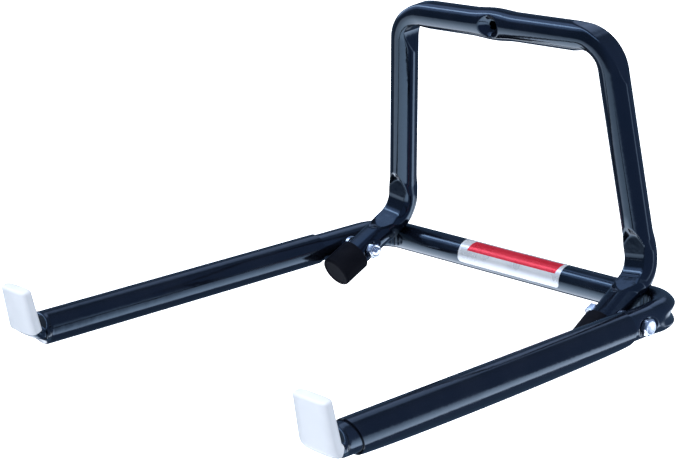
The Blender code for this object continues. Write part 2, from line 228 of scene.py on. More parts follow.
def punch(tube, place, axis, radius):
    """Cuts a round hole through the skin on both sides of the tube."""
    pick_faces(tube, lambda face: (face.center - place).cross(axis).length < radius
               and abs((face.center - place).dot(axis)) < own_reach)
    bpy.ops.mesh.delete(type="FACE")
    bpy.ops.object.mode_set(mode="OBJECT")
    for vert in tube.data.vertices:
        arm = vert.co - place
        flat = arm - axis * arm.dot(axis)
        if flat.length < radius + hole_catch and abs(arm.dot(axis)) < own_reach:
            vert.co += flat.normalized() * (radius - flat.length)


def give_wall(piece, wall):
    """Gives a skin its thickness, inside its outer face, and shades it smooth."""
    take(piece)
    shell = piece.modifiers.new("wall", "SOLIDIFY")
    shell.thickness, shell.offset = wall, -1.0
    shell.use_rim = True
    bpy.ops.object.modifier_apply(modifier="wall")
    bpy.ops.object.shade_smooth_by_angle(angle=smooth_angle)


def leg_direction(sign):
    return Vector((sign * math.sin(foot_splay), -math.cos(foot_splay) * math.cos(foot_drop),
                   -math.cos(foot_splay) * math.sin(foot_drop)))


arm_half = 0.1733
spacer_thick = 0.0034
clearance = 0.0003
pivot_half = arm_half - tube_across - spacer_thick - 2 * clearance
foot_half = pivot_half - foot_to_pivot * math.sin(foot_splay)
leg_pivots = {sign: Vector((sign * pivot_half, pivot.y, pivot.z)) for sign in (-1, 1)}
leg_ends = {sign: leg_pivots[sign] + leg_direction(sign) * pivot_to_foot_end for sign in (-1, 1)}
screw_place = Vector((screw_side, -tube_radius, 0.0))
frame_corners = [leg_ends[-1],
                 Vector((-foot_half, -tube_radius, -frame_height)), Vector((-top_half, -tube_radius, 0.0)),
                 Vector((top_half, -tube_radius, 0.0)), Vector((foot_half, -tube_radius, -frame_height)),
                 leg_ends[1]]
frame_busy = [(screw_place, screw_reach), (leg_pivots[-1], bolt_reach), (leg_pivots[1], bolt_reach)]
wall_frame, frame_bends = draw_tube("wall_frame_tube", frame_corners,
                                    (foot_bend, top_bend, top_bend, foot_bend), frame_busy, lead=foot_lead)
for bend in (frame_bends[0], frame_bends[3]):
    press_bend(wall_frame, bend, foot_dent, 0.0, foot_lead, foot_ramp, spread=foot_spread,
               heel=heel_dent, heel_curve=heel_round)
for bend in frame_bends[1:3]:
    press_bend(wall_frame, bend, top_dent, top_flat, top_lead, top_ramp)
press_in(wall_frame, screw_place, Vector((0.0, -1.0, 0.0)), screw_dent, screw_seat, screw_cone)
for sign in (-1, 1):
    press_in(wall_frame, leg_pivots[sign], Vector((-sign, 0.0, 0.0)), nut_dent, bolt_seat, seat_cone)
for vert in wall_frame.data.vertices:
    out = abs(vert.co.x - screw_side)
    if abs(vert.co.z) < tube_across and out < bulge_reach:
        vert.co.z *= 1.0 + screw_bulge / tube_radius * math.cos(math.pi / 2 * out / bulge_reach) ** 2
        if vert.co.y > -tube_radius:
            across = max(0.0, abs(vert.co.z) - wall_flat_height) / wall_flat_fade[0]
            along = max(0.0, out - wall_flat_reach) / wall_flat_fade[1]
            vert.co.y *= 1.0 - max(0.0, 1.0 - math.hypot(across, along)) ** 0.5
punch(wall_frame, screw_place, Vector((0.0, 1.0, 0.0)), screw_hole)
for sign in (-1, 1):
    punch(wall_frame, leg_pivots[sign], Vector((1.0, 0.0, 0.0)), bolt_hole)
give_wall(wall_frame, tube_wall)
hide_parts("wall_frame")
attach(wall_frame, "wall_frame")


def make_handled_skin():
    """The small waves, dull patches and fine rubbed lines that every surface of the rack has."""
    group = bpy.data.node_groups.new("handled_skin", "ShaderNodeTree")
    for socket, value in (("Wave Scale", 300.0), ("Wave Height", 0.0), ("Grain Scale", 2500.0),
                          ("Grain Height", 0.0), ("Polish", 0.1), ("Dullness", 0.1), ("Rubbing", 0.0)):
        made = group.interface.new_socket(socket, in_out="INPUT", socket_type="NodeSocketFloat")
        made.default_value = value
    for socket, kind in (("Roughness", "Float"), ("Patches", "Float"), ("Rubbed", "Float"),
                         ("Normal", "Vector")):
        group.interface.new_socket(socket, in_out="OUTPUT", socket_type=f"NodeSocket{kind}")
    nodes, link = group.nodes, group.links.new
    given, out = nodes.new("NodeGroupInput"), nodes.new("NodeGroupOutput")
    place = nodes.new("ShaderNodeTexCoord")

    def noise(scale, detail, stretch=None):
        texture = nodes.new("ShaderNodeTexNoise")
        texture.inputs["Detail"].default_value = detail
        if isinstance(scale, float):
            texture.inputs["Scale"].default_value = scale
        else:
            link(scale, texture.inputs["Scale"])
        if stretch:
            mapping = nodes.new("ShaderNodeMapping")
            mapping.inputs["Scale"].default_value = stretch
            link(place.outputs["Object"], mapping.inputs["Vector"])
            link(mapping.outputs["Vector"], texture.inputs["Vector"])
        else:
            link(place.outputs["Object"], texture.inputs["Vector"])
        return texture.outputs["Fac"]

    def between(value, low, high):
        spread = nodes.new("ShaderNodeMapRange")
        spread.interpolation_type = "SMOOTHSTEP"
        spread.inputs["From Min"].default_value = low
        spread.inputs["From Max"].default_value = high
        link(value, spread.inputs["Value"])
        return spread.outputs["Result"]

    def work(operation, one, other):
        both = nodes.new("ShaderNodeMath")
        both.operation = operation
        link(one, both.inputs[0])
        link(other, both.inputs[1])
        return both.outputs["Value"]

    patches = between(noise(38.0, 4.0), 0.35, 0.68)
    rubbed = between(noise(160.0, 6.0, (1.0, 6.0, 2.5)), 0.60, 0.74)
    dulled = work("MULTIPLY", patches, given.outputs["Dullness"])
    scuffed = work("MULTIPLY", rubbed, given.outputs["Rubbing"])
    link(work("ADD", work("ADD", given.outputs["Polish"], dulled), scuffed), out.inputs["Roughness"])
    link(patches, out.inputs["Patches"])
    link(rubbed, out.inputs["Rubbed"])
    normal = None
    for scale, height, detail in (("Wave Scale", "Wave Height", 1.0), ("Grain Scale", "Grain Height", 3.0)):
        bump = nodes.new("ShaderNodeBump")
        link(given.outputs[height], bump.inputs["Distance"])
        link(noise(given.outputs[scale], detail), bump.inputs["Height"])
        if normal:
            link(normal, bump.inputs["Normal"])
        normal = bump.outputs["Normal"]
    link(normal, out.inputs["Normal"])
    return group


handled_skin = make_handled_skin()


def finish_named(name, deep, light, **skin):
    """A finish whose colour drifts between a deep and a light tone, on a skin with its own waves."""
    made = bpy.data.materials.new(name)
    made.use_nodes = True
    nodes, link = made.node_tree.nodes, made.node_tree.links.new
    shader = nodes["Principled BSDF"]
    effect = nodes.new("ShaderNodeGroup")
    effect.node_tree = handled_skin
    for socket, value in skin.items():
        effect.inputs[socket.replace("_", " ").title()].default_value = value
    tone = nodes.new("ShaderNodeMix")
    tone.data_type = "RGBA"
    tone.inputs["A"].default_value = (*deep, 1.0)
    tone.inputs["B"].default_value = (*light, 1.0)
    link(effect.outputs["Patches"], tone.inputs["Factor"])
    link(tone.outputs["Result"], shader.inputs["Base Color"])
    link(effect.outputs["Roughness"], shader.inputs["Roughness"])
    link(effect.outputs["Normal"], shader.inputs["Normal"])
    return made, shader


def wear(piece, finish):
    piece.data.materials.clear()
    piece.data.materials.append(finish)


blue_sheen = (0.55, 0.78, 1.0, 1.0)
enamel, shader = finish_named("blue_black_enamel", (0.0022, 0.0030, 0.0062), (0.0034, 0.0042, 0.0080),
                              wave_scale=170.0, wave_height=0.00006, grain_scale=1400.0,
                              grain_height=0.000003, polish=0.080, dullness=0.05, rubbing=0.05)
shader.inputs["IOR"].default_value = 1.55
shader.inputs["Specular Tint"].default_value = blue_sheen
wear(wall_frame, enamel)


# The leg caps are dipped vinyl, pushed over the open lower ends of the legs. Each has a soft rolled lip at
# the back and a thick round end with a shallow disc moulded in its face.
cap_wall = 0.0023
cap_start = 0.0100
cap_end_wall = 0.0025
cap_round = 0.0025
cap_lip_round = 0.0008
cap_disc_edge = 0.0034
cap_disc_depth = 0.0005
cap_disc_ring = 0.0015


def straighten(piece):
    """Puts a piece's place and turn into its mesh, so that its object sits at the origin."""
    take(piece)
    bpy.ops.object.transform_apply(location=True, rotation=True, scale=True)


def pick_edges(piece, wanted):
    """Opens a piece in edit mode with just the wanted edges selected, each told by its two ends."""
    take(piece)
    bpy.ops.object.mode_set(mode="EDIT")
    bpy.ops.mesh.select_mode(type="EDGE")
    bpy.ops.mesh.select_all(action="DESELECT")
    bpy.ops.object.mode_set(mode="OBJECT")
    points = piece.data.vertices
    for edge in piece.data.edges:
        edge.select = wanted(*(points[i].co for i in edge.vertices))
    bpy.ops.object.mode_set(mode="EDIT")


def round_off(piece, wanted, width, steps):
    """Rounds the wanted edges of a piece."""
    pick_edges(piece, wanted)
    bpy.ops.mesh.bevel(offset=width, segments=steps, profile=0.5, clamp_overlap=True)
    bpy.ops.object.mode_set(mode="OBJECT")


def make_cap(sign, side):
    """Draws a cap standing on its open end, with its end wall on top, then turns it onto its leg."""
    grip, outer = pivot_to_foot_end - cap_start, tube_radius + clearance + cap_wall
    top = clearance + cap_end_wall
    select_none()
    bpy.ops.mesh.primitive_cylinder_add(vertices=tube_sides, radius=outer, depth=grip + top,
                                        location=(0.0, 0.0, (top - grip) / 2))
    cap = bpy.context.object
    cap.name = cap.data.name = f"leg_cap_skin_{side}"
    straighten(cap)
    pick_faces(cap, lambda face: face.normal.z < -0.9)
    bpy.ops.mesh.inset(thickness=cap_wall)
    bpy.ops.mesh.extrude_region_move(TRANSFORM_OT_translate={"value": (0.0, 0.0, grip + clearance)})
    bpy.ops.object.mode_set(mode="OBJECT")
    pick_faces(cap, lambda face: face.normal.z > 0.9 and face.center.z > clearance + 0.001)
    bpy.ops.mesh.inset(thickness=cap_disc_edge)
    bpy.ops.mesh.inset(thickness=cap_disc_depth)
    bpy.ops.transform.translate(value=(0.0, 0.0, -cap_disc_depth))
    bpy.ops.mesh.inset(thickness=cap_disc_ring)
    bpy.ops.object.mode_set(mode="OBJECT")
    round_off(cap, lambda one, other: min(one.z, other.z) > top - 1e-5 and min(one.xy.length,
              other.xy.length) > outer - 1e-5, cap_round, 8)
    round_off(cap, lambda one, other: max(one.z, other.z) < -grip + 1e-5, cap_lip_round, 4)
    cap.rotation_euler = leg_direction(sign).to_track_quat("Z", "Y").to_euler()
    cap.location = leg_ends[sign]
    straighten(cap)
    bpy.ops.object.shade_smooth_by_angle(angle=smooth_angle)
    return cap


cap_vinyl, shader = finish_named("soft_black_cap_vinyl", (0.0040, 0.0048, 0.0078),
                                 (0.0070, 0.0078, 0.0115), wave_scale=260.0, wave_height=0.00005,
                                 grain_scale=3000.0, grain_height=0.00001, polish=0.38, dullness=0.10,
                                 rubbing=0.08)
shader.inputs["Specular IOR Level"].default_value = 0.01
for sign, side in ((-1, "left"), (1, "right")):
    cap = make_cap(sign, side)
    wear(cap, cap_vinyl)
    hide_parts(f"leg_cap_{side}")
    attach(cap, "wall_frame")


# The arm frame is a second length of the same tube, bent into a U that leans on its crossbar. Its arms are
# dimpled for the bolt heads, and both ends are turned up and pressed flat, to keep a bicycle on them.
arm_lengths = {-1: 0.4108, 1: 0.4076}
corner_bend = 0.029
corner_ramp = 0.0160
corner_dent = 0.0030
corner_flat = 0.0022
corner_ripple = 0.0005
buckle_rise = 0.12
buckle_sink = 0.0058
buckle_height = 0.62
tip_height = 0.0391
tip_tilt = math.radians(11.2)
tip_bend = 0.0066
tip_thick = (0.0091, 0.0069)
tip_width = (0.0340, 0.0305)
tip_press_outer = (-0.0110, -0.0014)
tip_press_inner = (-0.0080, -0.0014)
tip_squareness = 0.43
head_dent = 0.0030
crossbar_reach = 0.054632
arm_rise = math.radians(6.358)
arm_lean = Matrix.Rotation(-arm_rise, 3, "X")
tip_inset = tip_bend * math.tan((math.pi / 2 - tip_tilt) / 2)
tip_run = tip_bend * (math.pi / 2 - tip_tilt) + tip_height - tip_inset


def on_arms(x, y, z=0.0):
    """A point given along the arms, with the pivots' line as its origin."""
    return pivot + arm_lean @ Vector((x, y, z))


def tip_corners(sign):
    """The front corner of an arm and the end of its tip."""
    front = on_arms(sign * arm_half, crossbar_reach - arm_lengths[sign])
    rise = Vector((0.0, -math.sin(tip_tilt), math.cos(tip_tilt))) * tip_height
    return front, front + arm_lean @ rise


def signed_power(value, exponent):
    return math.copysign(abs(value) ** exponent, value)


def eased(value, limits):
    """How far a value has come between two limits, starting and ending softly."""
    share = min(1.0, max(0.0, (value - limits[0]) / (limits[1] - limits[0])))
    return share * share * (3.0 - 2.0 * share)


def press_tip(tube, bend, tip_first, radius, spare=0.0):
    """Presses a turned-up end flat and wide, and sooner along the tube on its outside than on its inside."""
    verts = tube.data.vertices
    for first in range(0, len(verts), tube_sides):
        ring = verts[first:first + tube_sides]
        middle = sum((vert.co for vert in ring), Vector()) / tube_sides
        if (middle - bend.centre).length > 2 * tip_height:
            continue
        _, inward, along = bend.near(middle)
        along = bend.length - along if tip_first else along
        share, late = eased(along, tip_press_outer), eased(along, tip_press_inner)
        climb = min(1.0, max(0.0, (along - tip_press_outer[1]) / (tip_run - tip_press_outer[1])))
        width = tip_width[0] + (tip_width[1] - tip_width[0]) * climb
        thick = tip_thick[0] + (tip_thick[1] - tip_thick[0]) * climb
        half_width = tube_radius + (width / 2 - tube_radius) * share + spare
        square = 1.0 - tip_squareness * share
        for vert in ring if share else ():
            across, up = (vert.co - middle).x / radius, (vert.co - middle).dot(inward) / radius
            half_thick = tube_radius + (thick / 2 - tube_radius) * (late if up > 0.0 else share) + spare
            vert.co = (middle + Vector((half_width * signed_power(across, square), 0.0, 0.0))
                       + inward * half_thick * signed_power(up, square))


def buckle(tube, bend):
    """Sinks the outside of a bend between two ridges, and makes the tube taller there."""
    for vert in tube.data.vertices:
        if (vert.co - bend.centre).length > bend.radius + bend_lead + tube_across:
            continue
        middle, inward, along = bend.near(vert.co)
        share = 1.0 - ((along - bend.length / 2) / (bend.length / 2 + bend_lead)) ** 2
        if share <= 0.0 or (vert.co - middle).length > own_reach:
            continue
        up, out = (vert.co - middle).dot(bend.axis) / tube_radius, -(vert.co - middle).dot(inward)
        vert.co += bend.axis * up * tube_radius * buckle_rise * share
        if out > 0.0:
            vert.co += inward * buckle_sink * share ** 2 * max(0.0, 1.0 - (up / buckle_height) ** 2) ** 2


(left_front, left_tip), (right_front, right_tip) = tip_corners(-1), tip_corners(1)
arm_corners = [left_tip, left_front, on_arms(-arm_half, crossbar_reach), on_arms(arm_half, crossbar_reach),
               right_front, right_tip]
arm_busy = [(on_arms(sign * arm_half, 0.0), bolt_reach) for sign in (-1, 1)]
arm_frame, arm_bends = draw_tube("arm_frame_tube", arm_corners,
                                 (tip_bend, corner_bend, corner_bend, tip_bend), arm_busy)
for bend, tip_first in ((arm_bends[0], True), (arm_bends[3], False)):
    press_tip(arm_frame, bend, tip_first, tube_radius)
for bend, flat in ((arm_bends[1], corner_flat), (arm_bends[2], 0.0)):
    press_bend(arm_frame, bend, corner_dent, flat, bend_lead, corner_ramp, ripple=corner_ripple)
buckle(arm_frame, arm_bends[2])
for sign in (-1, 1):
    press_in(arm_frame, on_arms(sign * arm_half, 0.0), Vector((sign, 0.0, 0.0)), head_dent, bolt_seat,
             seat_cone)
    punch(arm_frame, on_arms(sign * arm_half, 0.0), Vector((1.0, 0.0, 0.0)), bolt_hole)
give_wall(arm_frame, tube_wall)
# The arm frame's enamel is rougher than the wall frame's. Its deep and light tones are also a lighter copy
# of the same enamel: this is painted light, standing in for the brighter reflections along the crossbar.
arm_enamel, shader = finish_named("softer_blue_black_enamel", (0.0030, 0.0042, 0.0080),
                                  (0.0050, 0.0062, 0.0110), wave_scale=170.0, wave_height=0.00006,
                                  grain_scale=1400.0, grain_height=0.000003, polish=0.13,
                                  dullness=0.05, rubbing=0.05)
shader.inputs["IOR"].default_value = 1.60
shader.inputs["Specular Tint"].default_value = blue_sheen
wear(arm_frame, arm_enamel)
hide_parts("arm_frame")
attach(arm_frame, "arms")


# The sleeves are thin glossy black vinyl tubing, pushed along the arms before the tips were pressed. Each
# has slid a little out of place, and the right one hangs slack under its arm.
sleeve_wall = 0.0011
sleeve_ends = {-1: (0.0881, 0.0025), 1: (0.0725, 0.0219)}
sleeve_sag = {-1: 0.0004, 1: 0.0044}
sag_evenness = 0.4
sag_sharpness = 3
sleeve_slants = {-1: 0.10, 1: 0.32}
sleeve_slant_reach = 0.030
sleeve_radius = tube_radius + clearance + sleeve_wall

sleeve_vinyl, shader = finish_named("glossy_black_vinyl", (0.0030, 0.0038, 0.0070),
                                    (0.0046, 0.0055, 0.0092), wave_scale=120.0, wave_height=0.00010,
                                    grain_scale=2200.0, grain_height=0.000004, polish=0.10,
                                    dullness=0.07, rubbing=0.06)
shader.inputs["Specular Tint"].default_value = blue_sheen
for sign, side in ((-1, "left"), (1, "right")):
    back, short = sleeve_ends[sign]
    start = on_arms(sign * arm_half, crossbar_reach - back)
    end = on_arms(sign * arm_half, crossbar_reach - (arm_lengths[sign] - tip_inset - short))
    sleeve, _ = draw_tube(f"arm_sleeve_skin_{side}", [start, end], (), [(start, 1.0)], sleeve_radius)
    up, way = arm_lean @ Vector((0.0, 0.0, 1.0)), (end - start).normalized()
    for vert in sleeve.data.vertices:
        near_end = max(0.0, 1.0 - (end - vert.co).dot(way) / sleeve_slant_reach)
        vert.co += way * (vert.co - start).dot(up) * sleeve_slants[sign] * near_end
        height, along = (vert.co - start).dot(up), (vert.co - start).dot(way) / (end - start).length
        if height < 0.0:
            slack = max(0.0, math.sin(math.pi * along)) ** sag_evenness
            vert.co += up * (height / sleeve_radius) ** sag_sharpness * sleeve_sag[sign] * slack
    press_tip(sleeve, arm_bends[0 if sign < 0 else 3], sign < 0, sleeve_radius, clearance + sleeve_wall)
    give_wall(sleeve, sleeve_wall)
    wear(sleeve, sleeve_vinyl)
    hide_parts(f"arm_sleeve_{side}")
    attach(sleeve, "arms")


# The tip covers are dipped white vinyl with a satin skin. They grip the flattened tips, the left one down
# to its bend and the right one most of the way round it, and have soft rounded tops.
cover_wall = 0.0016
cover_depths = {-1: 0.0350, 1: 0.0400}
cover_round = 0.0030
cover_blank = 0.04


def make_cover(sign, side):
    """Draws a cover as a tube round its arm's end, presses it with the tip, and cuts it to its depth."""
    front, tip = tip_corners(sign)
    spare = clearance + cover_wall
    rise = (tip - front).normalized()
    top = tip + rise * spare
    start = on_arms(sign * arm_half, crossbar_reach - arm_lengths[sign] + cover_blank)
    cover, (bend,) = draw_tube(f"tip_cover_skin_{side}", [start, front, top], (tip_bend,), [(front, 0.0)],
                               tube_radius + spare)
    bare = bend.length + (tip - bend.end).length - cover_depths[sign]
    press_tip(cover, bend, False, tube_radius + spare, spare)
    pick_faces(cover, lambda face: bend.near(face.center)[2] < bare)
    bpy.ops.mesh.delete(type="FACE")
    bpy.ops.object.mode_set(mode="OBJECT")

    def at_top(one, other):
        return min((one - top).dot(rise), (other - top).dot(rise)) > -1e-5

    pick_edges(cover, at_top)
    bpy.ops.mesh.edge_face_add()
    bpy.ops.object.mode_set(mode="OBJECT")
    round_off(cover, at_top, cover_round, 8)
    give_wall(cover, cover_wall)
    return cover


cover_vinyl, shader = finish_named("satin_white_vinyl", (0.73, 0.765, 0.81), (0.78, 0.81, 0.855),
                                   wave_scale=110.0, wave_height=0.00012, grain_scale=2600.0,
                                   grain_height=0.00001, polish=0.34, dullness=0.12, rubbing=0.10)
for sign, side in ((-1, "left"), (1, "right")):
    cover = make_cover(sign, side)
    wear(cover, cover_vinyl)
    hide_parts(f"tip_cover_{side}")
    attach(cover, "arms")


# Each pivot is a hex bolt pushed in from outside through arm and leg, with a nut against the inside of the
# leg and a spacer ring between the tubes. All are bright zinc plated steel, and the bolts are threaded.
bolt_radius = 0.0040
hex_across = 0.0130
head_thick = 0.0053
head_ring = 0.0012
head_dish = 0.0002
nut_thick = 0.0065
bolt_spare = 0.0030
bolt_point = 0.0009
thread_length = 0.0150
thread_pitch = 0.00125
thread_depth = 0.00065
thread_steps = 10
face_radius = 0.0060
hex_cut = math.radians(30.0)
spacer_radius = 0.0080
soft_edge = 0.0002
soft_edge_angle = math.radians(20.0)
thread_smooth_angle = math.radians(30.0)
head_turns = {-1: math.radians(12.0), 1: math.radians(38.0)}
nut_turns = {-1: math.radians(20.0), 1: math.radians(5.0)}


def turn_blank(name, outer, thick):
    """A round blank standing on the origin."""
    select_none()
    bpy.ops.mesh.primitive_cylinder_add(vertices=tube_sides, radius=outer, depth=thick,
                                        location=(0.0, 0.0, thick / 2))
    blank = bpy.context.object
    blank.name = blank.data.name = name
    straighten(blank)
    return blank


def bore_through(blank, ring):
    """Opens a blank from end to end, inside a ring on both its faces."""
    pick_faces(blank, lambda face: abs(face.normal.z) > 0.9 and face.center.xy.length < 1e-4)
    bpy.ops.mesh.inset(thickness=ring)
    bpy.ops.mesh.bridge_edge_loops()
    bpy.ops.mesh.select_all(action="SELECT")
    bpy.ops.mesh.normals_make_consistent(inside=False)
    bpy.ops.object.mode_set(mode="OBJECT")


def pull_to_hex(blank, turn, low, high):
    """Pulls a blank's round side out to a hexagon, with its corners cut back by a cone at the named ends."""
    for vert in blank.data.vertices:
        out = vert.co.xy.length
        if out < (face_radius + hex_across / 2) / 2:
            continue
        angle = math.atan2(vert.co.y, vert.co.x) - turn
        reach = hex_across / 2 / math.cos((angle + math.pi / 6) % (math.pi / 3) - math.pi / 6)
        cut = (reach - face_radius) * math.tan(hex_cut)
        vert.co.xy *= reach / out
        if low is not None and abs(vert.co.z - low) < 1e-6:
            vert.co.z += cut
        if high is not None and abs(vert.co.z - high) < 1e-6:
            vert.co.z -= cut


def soften(piece, width):
    """Takes the sharpness off a piece's edges, and shades it smooth."""
    take(piece)
    edges = piece.modifiers.new("edges", "BEVEL")
    edges.width, edges.segments, edges.limit_method = width, 2, "ANGLE"
    edges.angle_limit = soft_edge_angle
    bpy.ops.object.modifier_apply(modifier="edges")
    bpy.ops.object.shade_smooth_by_angle(angle=smooth_angle)


def aim_inwards(piece, sign, seat):
    """Lays a piece along its bolt's line, with its own +Z pointing inwards."""
    piece.rotation_euler = Vector((-sign, 0.0, 0.0)).to_track_quat("Z", "Y").to_euler()
    piece.location = pivot + Vector((sign * seat, 0.0, 0.0))
    straighten(piece)


def make_bolt(name, turn, length):
    """Makes a bolt from its blank head, which hangs below the origin, and draws its shank upwards."""
    bolt = turn_blank(name, hex_across / 2, head_thick)
    for vert in bolt.data.vertices:
        vert.co.z -= head_thick
    pick_faces(bolt, lambda face: face.normal.z < -0.9)
    bpy.ops.mesh.inset(thickness=hex_across / 2 - face_radius)
    bpy.ops.mesh.inset(thickness=head_ring)
    bpy.ops.mesh.inset(thickness=head_dish)
    bpy.ops.transform.translate(value=(0.0, 0.0, head_dish))
    bpy.ops.object.mode_set(mode="OBJECT")
    pull_to_hex(bolt, turn, -head_thick, None)
    soften(bolt, soft_edge)
    pick_faces(bolt, lambda face: face.normal.z > 0.9)
    bpy.ops.mesh.inset(thickness=hex_across / 2 - bolt_radius)
    bpy.ops.mesh.extrude_region_move(TRANSFORM_OT_translate={"value": (0.0, 0.0, length - thread_length)})
    rise = thread_pitch / thread_steps
    for _ in range(round(thread_length / rise)):
        bpy.ops.mesh.extrude_region_move(TRANSFORM_OT_translate={"value": (0.0, 0.0, rise)})
    bpy.ops.object.mode_set(mode="OBJECT")
    for vert in bolt.data.vertices:
        climb = vert.co.z - (length - thread_length)
        if vert.co.z > 1e-5 and climb > 1e-5:
            angle = math.atan2(vert.co.y, vert.co.x)
            groove = abs(2.0 * ((climb / thread_pitch + angle / math.tau) % 1.0) - 1.0)
            deep = thread_depth * min(1.0, climb / thread_pitch) * groove
            taper = max(0.0, bolt_point - (length - vert.co.z))
            vert.co.xy *= min(bolt_radius - deep, bolt_radius - taper) / vert.co.xy.length
    bpy.ops.object.shade_smooth_by_angle(angle=thread_smooth_angle)
    return bolt


zinc, shader = finish_named("bright_zinc", (0.60, 0.62, 0.66), (0.74, 0.76, 0.79), wave_scale=420.0,
                            wave_height=0.00005, grain_scale=3500.0, grain_height=0.000012, polish=0.20,
                            dullness=0.14, rubbing=0.12)
shader.inputs["Metallic"].default_value = 1.0
nodes, link = zinc.node_tree.nodes, zinc.node_tree.links.new
scratched = nodes.new("ShaderNodeMix")
scratched.data_type = "RGBA"
scratched.inputs["B"].default_value = (0.13, 0.14, 0.16, 1.0)
effect = shader.inputs["Roughness"].links[0].from_node
link(effect.outputs["Rubbed"], scratched.inputs["Factor"])
link(shader.inputs["Base Color"].links[0].from_socket, scratched.inputs["A"])
link(scratched.outputs["Result"], shader.inputs["Base Color"])
head_seat = arm_half + tube_radius - head_dent + clearance
nut_seat = pivot_half - tube_radius + nut_dent - clearance
spacer_seat = arm_half - tube_radius - clearance
shank = head_seat - nut_seat + nut_thick + bolt_spare
for sign, side in ((-1, "left"), (1, "right")):
    bolt = make_bolt(f"hex_bolt_{side}", head_turns[sign], shank)
    aim_inwards(bolt, sign, head_seat)
    nut = turn_blank(f"hex_nut_{side}", hex_across / 2, nut_thick)
    pick_faces(nut, lambda face: abs(face.normal.z) > 0.9)
    bpy.ops.mesh.inset(thickness=hex_across / 2 - face_radius)
    bore_through(nut, face_radius - bolt_hole)
    pull_to_hex(nut, nut_turns[sign], 0.0, nut_thick)
    soften(nut, soft_edge)
    aim_inwards(nut, sign, nut_seat)
    spacer = turn_blank(f"spacer_ring_{side}", spacer_radius, spacer_thick)
    bore_through(spacer, spacer_radius - bolt_hole)
    soften(spacer, soft_edge)
    aim_inwards(spacer, sign, spacer_seat)
    for piece, node in ((bolt, "bolt"), (nut, "nut"), (spacer, "spacer")):
        wear(piece, zinc)
        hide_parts(f"pivot_{node}_{side}")
        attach(piece, "wall_frame")


# The label is a strip of satin silver foil with a plain red band, glued round the front and top of the
# crossbar. Its corners are rounded, and it carries no words.
label_left, label_right = -0.0615, 0.0575
label_low, label_high = math.radians(-20.0), math.radians(116.0)
label_corner = 0.0040
label_gap = 0.00003
foil_thick = 0.00007
label_columns, label_rows = 120, 48

select_none()
label_length, label_height = label_right - label_left, (label_high - label_low) * tube_radius
bpy.ops.mesh.primitive_grid_add(x_subdivisions=label_columns, y_subdivisions=label_rows, size=1.0)
label = bpy.context.object
label.name = label.data.name = "foil_label"
label.scale = (label_length, label_height, 1.0)
straighten(label)
crossbar = on_arms(0.0, crossbar_reach)
for vert in label.data.vertices:
    inner = Vector((label_length / 2 - label_corner, label_height / 2 - label_corner))
    beyond = Vector((abs(vert.co.x) - inner.x, abs(vert.co.y) - inner.y))
    if min(beyond) > 0.0 and beyond.length > label_corner:
        beyond *= label_corner / beyond.length
        vert.co.x = math.copysign(inner.x + beyond.x, vert.co.x)
        vert.co.y = math.copysign(inner.y + beyond.y, vert.co.y)
    angle = (label_low + label_high) / 2 + vert.co.y / tube_radius
    reach = tube_radius + label_gap
    vert.co = Vector(((label_left + label_right) / 2 + vert.co.x, crossbar.y - reach * math.cos(angle),
                      crossbar.z + reach * math.sin(angle)))
give_wall(label, -foil_thick)

band_low, band_high = 0.42, 0.86
band_start, band_end = 0.06, 0.93
band_slant = 0.05
foil, shader = finish_named("satin_foil", (0.56, 0.59, 0.63), (0.68, 0.70, 0.73), wave_scale=90.0,
                            wave_height=0.00012, grain_scale=2800.0, grain_height=0.000006, polish=0.24,
                            dullness=0.10, rubbing=0.10)
shader.inputs["Metallic"].default_value = 0.35
nodes, link = foil.node_tree.nodes, foil.node_tree.links.new
spot = nodes.new("ShaderNodeSeparateXYZ")
link(nodes.new("ShaderNodeTexCoord").outputs["UV"], spot.inputs["Vector"])
slanted = nodes.new("ShaderNodeMath")
slanted.operation = "MULTIPLY_ADD"
slanted.inputs[1].default_value = -band_slant
link(spot.outputs["Y"], slanted.inputs[0])
link(spot.outputs["X"], slanted.inputs[2])
printed = None
for value, low, high in ((spot.outputs["Y"], band_low, band_high),
                         (slanted.outputs["Value"], band_start, band_end)):
    inside = nodes.new("ShaderNodeMath")
    inside.operation = "COMPARE"
    inside.inputs[1].default_value = (low + high) / 2
    inside.inputs[2].default_value = (high - low) / 2
    link(value, inside.inputs[0])
    if printed:
        both = nodes.new("ShaderNodeMath")
        both.operation = "MULTIPLY"
        link(printed, both.inputs[0])
        link(inside.outputs["Value"], both.inputs[1])
        printed = both.outputs["Value"]
    else:
        printed = inside.outputs["Value"]
ink = nodes.new("ShaderNodeMix")
ink.data_type = "RGBA"
ink.inputs["B"].default_value = (0.58, 0.012, 0.028, 1.0)
link(printed, ink.inputs["Factor"])
link(shader.inputs["Base Color"].links[0].from_socket, ink.inputs["A"])
link(ink.outputs["Result"], shader.inputs["Base Color"])
wear(label, foil)
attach(label, "arms")


# The studio: the camera, a pale floor, and the surroundings that the enamel mirrors. They are a pale table
# below, a window on the right, soft boxes overhead and a dim blue room. Two soft suns light the vinyl.
select_none()
camera = bpy.data.objects.new("camera", bpy.data.cameras.new("camera"))
bpy.context.scene.collection.objects.link(camera)
camera.location = (1.0061, -1.1343, 0.3876)
camera.rotation_euler = [math.radians(angle) for angle in (69.43, 5.49, 45.801)]
camera.data.lens = 95.116
camera.data.sensor_width = 36.0
bpy.context.scene.camera = camera

bpy.ops.mesh.primitive_plane_add(size=30.0, location=(0.0, 0.0, -0.30))
floor = bpy.context.object
floor.name = "floor"
floor.visible_glossy = floor.visible_diffuse = False
floor_paint = bpy.data.materials.new("floor_paint")
floor_paint.use_nodes = True
floor_shader = floor_paint.node_tree.nodes["Principled BSDF"]
floor_shader.inputs["Base Color"].default_value = (0.9, 0.9, 0.9, 1.0)
floor_shader.inputs["Emission Color"].default_value = (1.0, 1.0, 1.0, 1.0)
floor_shader.inputs["Emission Strength"].default_value = 1.0
floor.data.materials.append(floor_paint)

